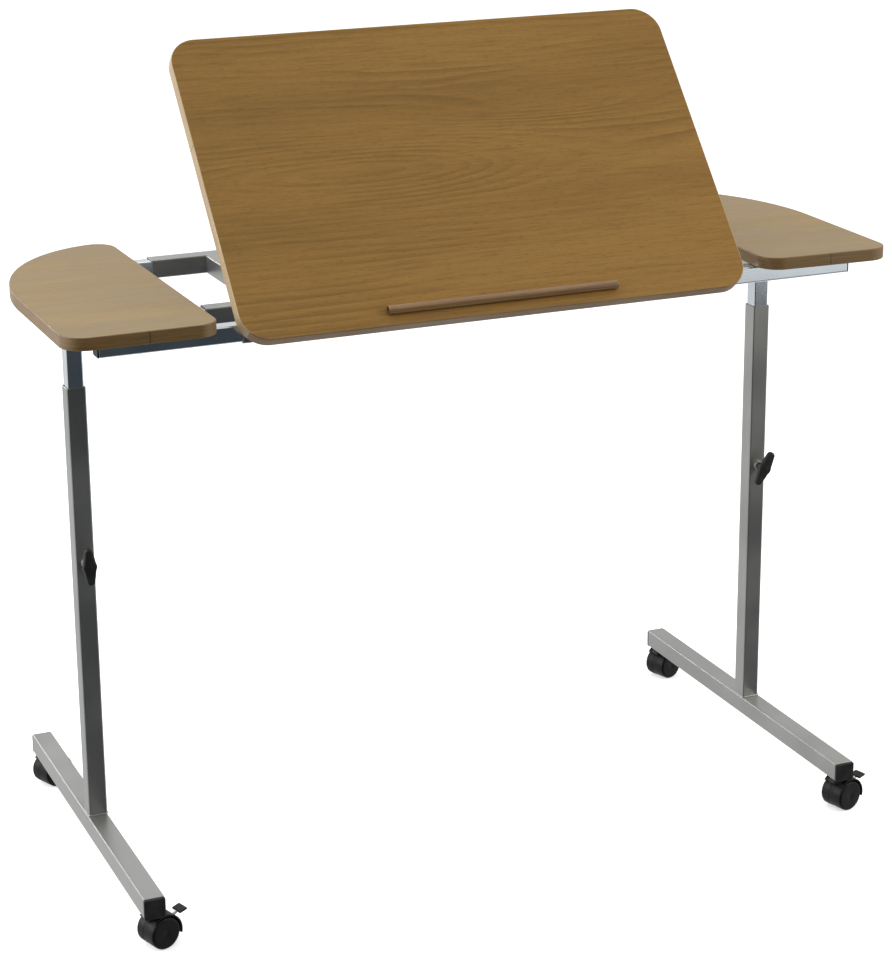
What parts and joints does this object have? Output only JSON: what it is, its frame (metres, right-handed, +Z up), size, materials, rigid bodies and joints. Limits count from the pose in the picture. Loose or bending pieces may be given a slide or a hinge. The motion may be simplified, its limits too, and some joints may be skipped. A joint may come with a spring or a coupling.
{
  "type": "overbed table",
  "caption": "Overbed table with a tilting middle panel, side leaves, telescopic posts and rails, and twin-wheel castors.",
  "frame": {"origin": "on the floor, under the middle of the table's bounding box, height and width as pictured", "axes": "+X to the right along the table's width, +Y to the back, away from the user, +Z up"},
  "size_m": [1.1201, 0.5642, 1.0753],
  "materials": {
    "grey_coat": "semi-gloss silver-grey powder coat",
    "zinc": "bright plated",
    "steel": "plain zinc-plated steel",
    "leaf_laminate": "matte beech laminate on particle board",
    "panel_laminate": "warm brown wood laminate on particle board",
    "black_plastic": "satin black nylon",
    "wheel": "black nylon tread"
  },
  "bodies": {
    "table_frame": {"outer_rail_front": "grey_coat", "outer_rail_back": "grey_coat", "stretcher": "grey_coat", "crossbar_left": "grey_coat", "crossbar_right": "grey_coat", "width_screw_left": "steel", "width_screw_right": "steel", "hinge_leaf_frame_left": "steel", "hinge_leaf_frame_right": "steel", "hinge_pin_left": "steel", "hinge_pin_right": "steel", "clamp_bracket": "grey_coat"},
    "panel": {"panel": "panel_laminate", "stop_rod": "panel_laminate", "hinge_leaf_panel_left": "steel", "hinge_leaf_panel_right": "steel", "tilt_quadrant": "steel"},
    "tilt_knob": {"tilt_knob": "black_plastic"},
    "end_left": {"sliding_rail_front_left": "zinc", "sliding_rail_back_left": "zinc", "sliding_rail_middle_left": "zinc", "end_bar_left": "zinc", "post_left": "zinc", "rail_cap_front_left": "black_plastic", "rail_cap_back_left": "black_plastic", "side_leaf_left": "leaf_laminate"},
    "leg_left": {"leg_frame_left": "grey_coat", "base_cap_front_left": "black_plastic", "base_cap_back_left": "black_plastic"},
    "height_knob_left": {"height_knob_left": "black_plastic"},
    "end_right": {"sliding_rail_front_right": "zinc", "sliding_rail_back_right": "zinc", "sliding_rail_middle_right": "zinc", "end_bar_right": "zinc", "post_right": "zinc", "rail_cap_front_right": "black_plastic", "rail_cap_back_right": "black_plastic", "side_leaf_right": "leaf_laminate"},
    "leg_right": {"leg_frame_right": "grey_coat", "base_cap_front_right": "black_plastic", "base_cap_back_right": "black_plastic"},
    "height_knob_right": {"height_knob_right": "black_plastic"},
    "castor_front_left": {"castor_front_left_hood": "black_plastic"},
    "wheels_front_left": {"castor_front_left_wheel_a": "wheel", "castor_front_left_wheel_b": "wheel", "castor_front_left_axle": "steel"},
    "pedal_front_left": {"castor_front_left_pedal": "black_plastic"},
    "castor_front_right": {"castor_front_right_hood": "black_plastic"},
    "wheels_front_right": {"castor_front_right_wheel_a": "wheel", "castor_front_right_wheel_b": "wheel", "castor_front_right_axle": "steel"},
    "pedal_front_right": {"castor_front_right_pedal": "black_plastic"},
    "castor_back_left": {"castor_back_left_hood": "black_plastic"},
    "wheels_back_left": {"castor_back_left_wheel_a": "wheel", "castor_back_left_wheel_b": "wheel", "castor_back_left_axle": "steel"},
    "castor_back_right": {"castor_back_right_hood": "black_plastic"},
    "wheels_back_right": {"castor_back_right_wheel_a": "wheel", "castor_back_right_wheel_b": "wheel", "castor_back_right_axle": "steel"}
  },
  "joints": [
    {"name": "panel_tilt", "type": "hinge", "parent": "table_frame", "child": "panel", "pos_m": [0, -0.21446, 0.76465], "axis": [1, 0, 0], "range_deg": [-49.4, 10.6]},
    {"name": "tilt_knob_turn", "type": "hinge", "parent": "table_frame", "child": "tilt_knob", "pos_m": [0.28, -0.15146, 0.74865], "axis": [1, 0, 0], "range_deg": [0, 360]},
    {"name": "width_left", "type": "slide", "parent": "table_frame", "child": "end_left", "axis": [-1, 0, 0], "range_m": [-0.0245, 0.2]},
    {"name": "height_left", "type": "slide", "parent": "end_left", "child": "leg_left", "axis": [0, 0, -1], "range_m": [-0.055, 0.26]},
    {"name": "height_knob_left_turn", "type": "hinge", "parent": "leg_left", "child": "height_knob_left", "pos_m": [-0.4908, -0.02516, 0.427], "axis": [0, -1, 0], "range_deg": [0, 360]},
    {"name": "width_right", "type": "slide", "parent": "table_frame", "child": "end_right", "axis": [1, 0, 0], "range_m": [-0.0245, 0.2]},
    {"name": "height_right", "type": "slide", "parent": "end_right", "child": "leg_right", "axis": [0, 0, -1], "range_m": [-0.055, 0.26]},
    {"name": "height_knob_right_turn", "type": "hinge", "parent": "leg_right", "child": "height_knob_right", "pos_m": [0.4908, -0.02516, 0.427], "axis": [0, -1, 0], "range_deg": [0, 360]},
    {"name": "castor_front_left_swivel", "type": "hinge", "parent": "leg_left", "child": "castor_front_left", "pos_m": [-0.4908, -0.26416, 0.048], "axis": [0, 0, 1], "continuous": true},
    {"name": "wheels_front_left_roll", "type": "hinge", "parent": "castor_front_left", "child": "wheels_front_left", "pos_m": [-0.48367, -0.26184, 0.021], "axis": [-0.309, 0.9511, 0], "continuous": true},
    {"name": "pedal_front_left_press", "type": "hinge", "parent": "castor_front_left", "child": "pedal_front_left", "pos_m": [-0.47463, -0.25891, 0.0265], "axis": [-0.309, 0.9511, 0], "range_deg": [0, 15]},
    {"name": "castor_front_right_swivel", "type": "hinge", "parent": "leg_right", "child": "castor_front_right", "pos_m": [0.4908, -0.26416, 0.048], "axis": [0, 0, 1], "continuous": true},
    {"name": "wheels_front_right_roll", "type": "hinge", "parent": "castor_front_right", "child": "wheels_front_right", "pos_m": [0.49803, -0.26216, 0.021], "axis": [-0.2672, 0.9636, 0], "continuous": true},
    {"name": "pedal_front_right_press", "type": "hinge", "parent": "castor_front_right", "child": "pedal_front_right", "pos_m": [0.50718, -0.25962, 0.0265], "axis": [-0.2672, 0.9636, 0], "range_deg": [0, 15]},
    {"name": "castor_back_left_swivel", "type": "hinge", "parent": "leg_left", "child": "castor_back_left", "pos_m": [-0.4908, 0.25084, 0.048], "axis": [0, 0, 1], "continuous": true},
    {"name": "wheels_back_left_roll", "type": "hinge", "parent": "castor_back_left", "child": "wheels_back_left", "pos_m": [-0.4839, 0.25377, 0.021], "axis": [-0.3907, 0.9205, 0], "continuous": true},
    {"name": "castor_back_right_swivel", "type": "hinge", "parent": "leg_right", "child": "castor_back_right", "pos_m": [0.4908, 0.25084, 0.048], "axis": [0, 0, 1], "continuous": true},
    {"name": "wheels_back_right_roll", "type": "hinge", "parent": "castor_back_right", "child": "wheels_back_right", "pos_m": [0.49789, 0.25328, 0.021], "axis": [-0.3256, 0.9455, 0], "continuous": true}
  ]
}
